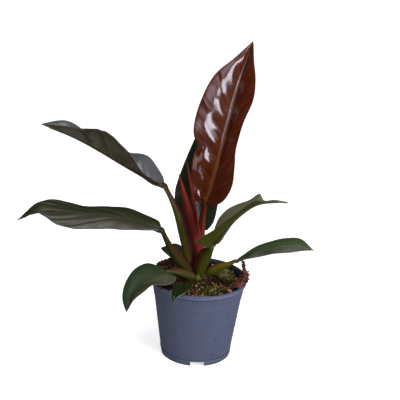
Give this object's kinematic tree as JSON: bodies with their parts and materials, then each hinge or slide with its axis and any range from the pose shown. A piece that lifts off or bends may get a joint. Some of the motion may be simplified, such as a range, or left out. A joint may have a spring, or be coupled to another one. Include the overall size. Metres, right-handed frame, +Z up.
{
  "type": "potted philodendron",
  "caption": "Young philodendron with long dark leaves and one upright glossy red-brown leaf, growing in a tapered plastic grower's pot with a notched foot.",
  "frame": {"origin": "middle of the whole plant's outline seen from above, on the surface that the pot stands on", "axes": "+Z up, the plant's front faces -Y, the tall leaf leans towards +X"},
  "size_m": [0.3584, 0.1476, 0.392],
  "materials": {
    "pot": "satin",
    "soil": "matte",
    "stem": "matte",
    "bud": "satin",
    "leaf_red": "gloss",
    "leaf_dark": "satin",
    "leaf_green": "satin",
    "stalk_green": "satin",
    "stalk_red": "satin",
    "spear": "satin",
    "moss": "matte",
    "bark": "matte"
  },
  "bodies": {
    "root": {"pot": "pot", "soil": "soil", "crown_stem": "stem", "crown_bud": "bud", "leaf_tall": "leaf_red", "stalk_tall": "stalk_red", "leaf_back": "leaf_dark", "stalk_back": "stalk_red", "leaf_upper_left": "leaf_dark", "stalk_upper_left": "stalk_green", "leaf_mid_left": "leaf_dark", "stalk_mid_left": "stalk_green", "leaf_lower_left": "leaf_green", "stalk_lower_left": "stalk_green", "leaf_small_front": "leaf_green", "stalk_small_front": "stalk_green", "leaf_upper_right": "leaf_dark", "stalk_upper_right": "stalk_green", "leaf_lower_right": "leaf_green", "stalk_lower_right": "stalk_green", "leaf_back_left": "leaf_dark", "stalk_back_left": "stalk_green", "spear_thick": "spear", "spear_thin": "spear", "moss_right": "moss", "moss_front": "moss", "bark_mound": "bark", "bark_slab_back": "bark", "bark_chip_1": "bark", "bark_chip_2": "bark", "bark_chip_3": "bark", "bark_chip_4": "bark", "bark_chip_5": "bark", "bark_chip_6": "bark"}
  },
  "joints": []
}
